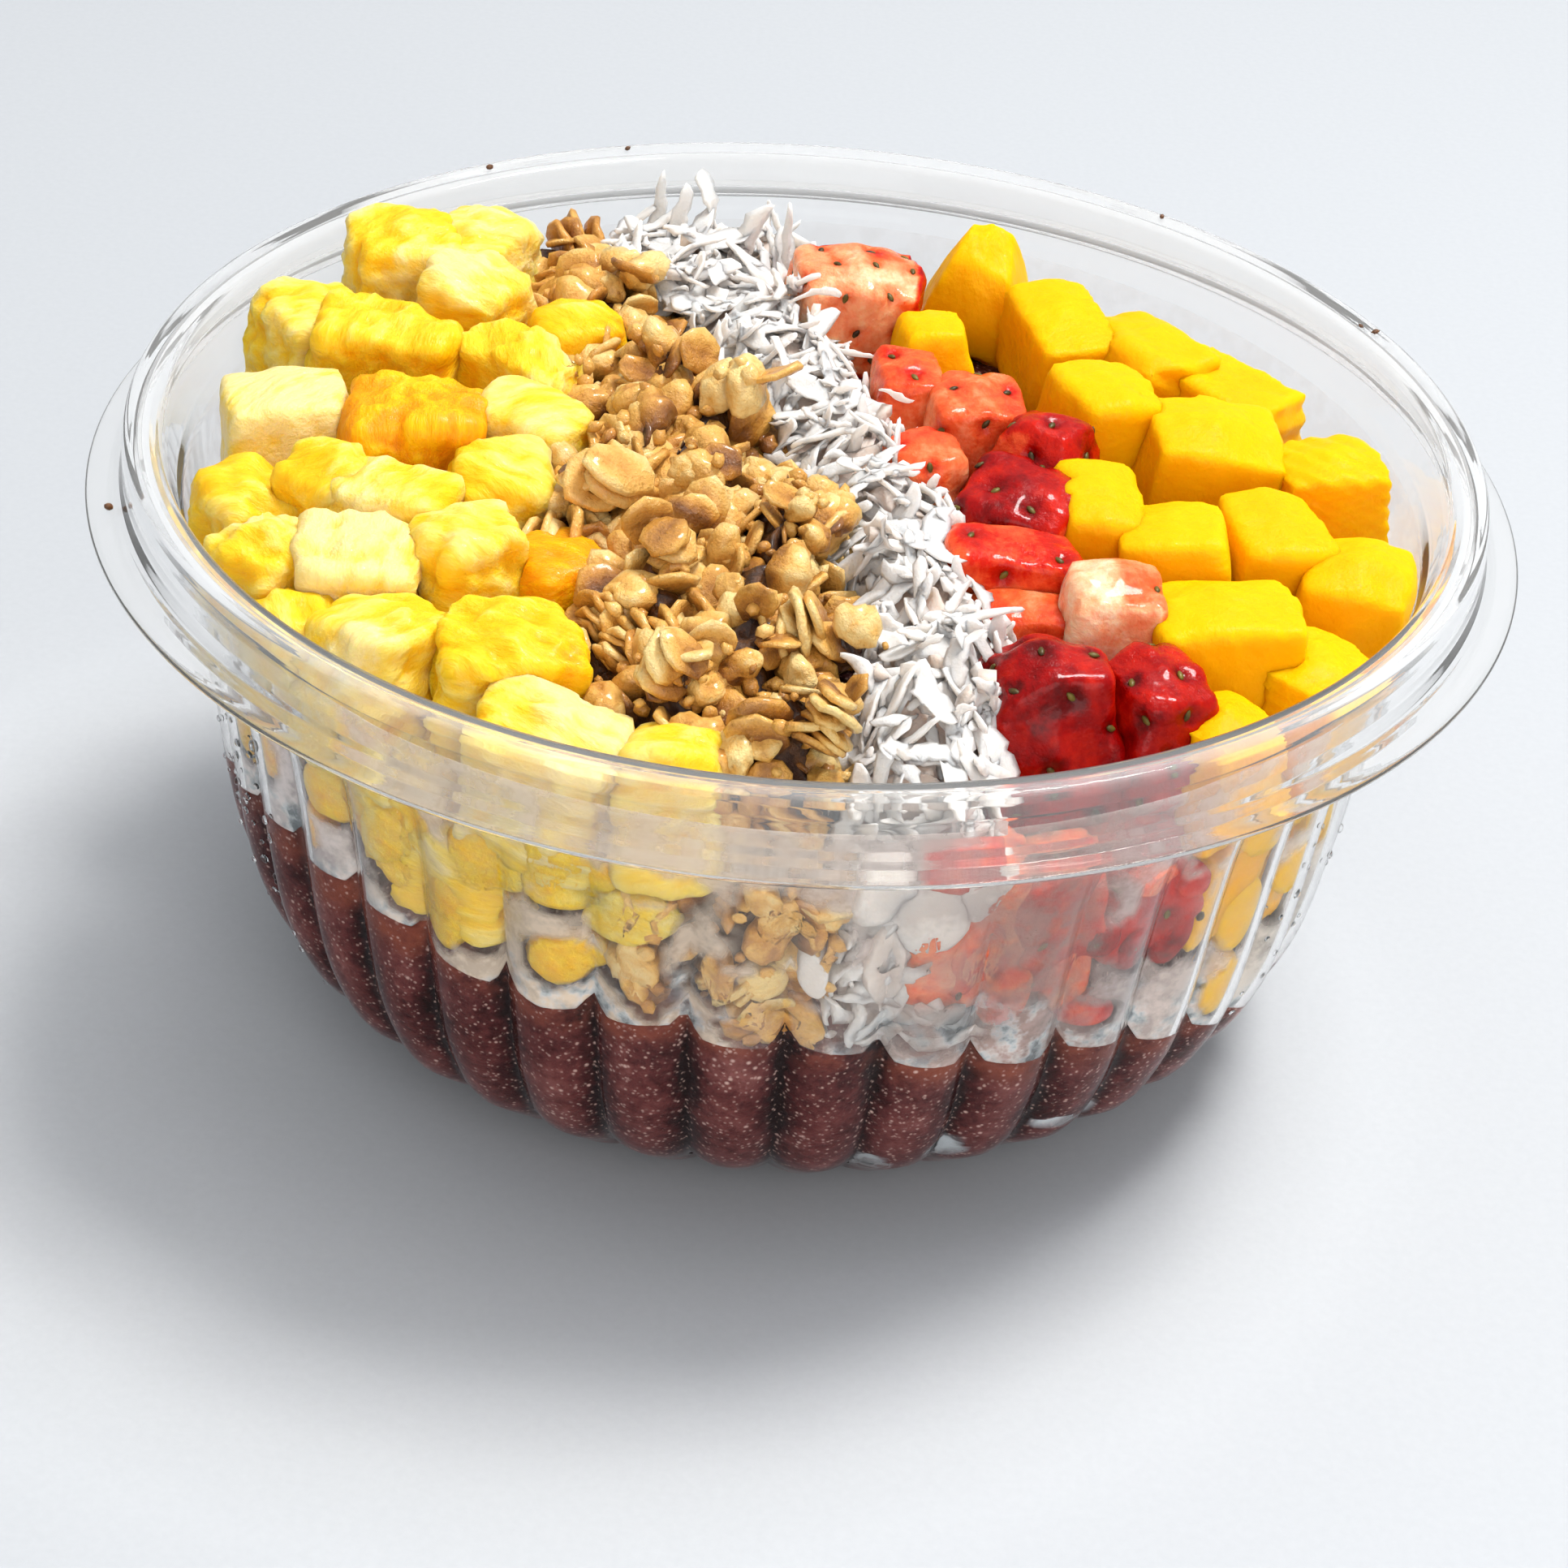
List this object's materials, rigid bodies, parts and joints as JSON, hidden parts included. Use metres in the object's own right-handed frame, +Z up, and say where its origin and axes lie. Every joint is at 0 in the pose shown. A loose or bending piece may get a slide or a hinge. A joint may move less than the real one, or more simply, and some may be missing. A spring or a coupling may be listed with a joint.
{
  "type": "acai bowl",
  "caption": "Clear fluted takeaway bowl filled with acai, topped with stripes of pineapple, granola, shredded coconut, strawberry and mango.",
  "frame": {"origin": "centre of the flat base, at the lowest point", "axes": "+Z up out of the bowl; the front, where the stripes of toppings run towards the viewer, faces -Y; pineapple on the -X side and mango on the +X side"},
  "size_m": [0.16, 0.16, 0.076],
  "materials": {
    "bowl": "clear thermoformed plastic sheet, glossy",
    "acai": "dark purple-brown frozen puree, finely grainy",
    "granola": "baked oat clusters, lightly glazed with honey",
    "coconut": "fresh white shreds, slightly moist",
    "pineapple": "wet translucent cut fruit",
    "strawberry": "wet cut fruit with small seeds in its skin",
    "mango": "smooth wet cut fruit"
  },
  "bodies": {
    "root": {"bowl": "bowl", "acai": "acai", "granola": "granola", "coconut": "coconut", "pineapple_01": "pineapple", "pineapple_02": "pineapple", "pineapple_03": "pineapple", "pineapple_04": "pineapple", "pineapple_05": "pineapple", "pineapple_06": "pineapple", "pineapple_07": "pineapple", "pineapple_08": "pineapple", "pineapple_09": "pineapple", "pineapple_10": "pineapple", "pineapple_11": "pineapple", "pineapple_12": "pineapple", "pineapple_13": "pineapple", "pineapple_14": "pineapple", "pineapple_15": "pineapple", "pineapple_16": "pineapple", "pineapple_17": "pineapple", "pineapple_18": "pineapple", "pineapple_19": "pineapple", "pineapple_20": "pineapple", "pineapple_21": "pineapple", "pineapple_22": "pineapple", "pineapple_23": "pineapple", "pineapple_24": "pineapple", "pineapple_25": "pineapple", "strawberry_01": "strawberry", "strawberry_02": "strawberry", "strawberry_03": "strawberry", "strawberry_04": "strawberry", "strawberry_05": "strawberry", "strawberry_06": "strawberry", "strawberry_07": "strawberry", "strawberry_08": "strawberry", "strawberry_09": "strawberry", "strawberry_10": "strawberry", "strawberry_11": "strawberry", "strawberry_12": "strawberry", "strawberry_13": "strawberry", "strawberry_14": "strawberry", "mango_01": "mango", "mango_02": "mango", "mango_03": "mango", "mango_04": "mango", "mango_05": "mango", "mango_06": "mango", "mango_07": "mango", "mango_08": "mango", "mango_09": "mango", "mango_10": "mango", "mango_11": "mango", "mango_12": "mango", "mango_13": "mango", "mango_14": "mango", "mango_15": "mango", "mango_16": "mango", "mango_17": "mango"}
  },
  "joints": []
}
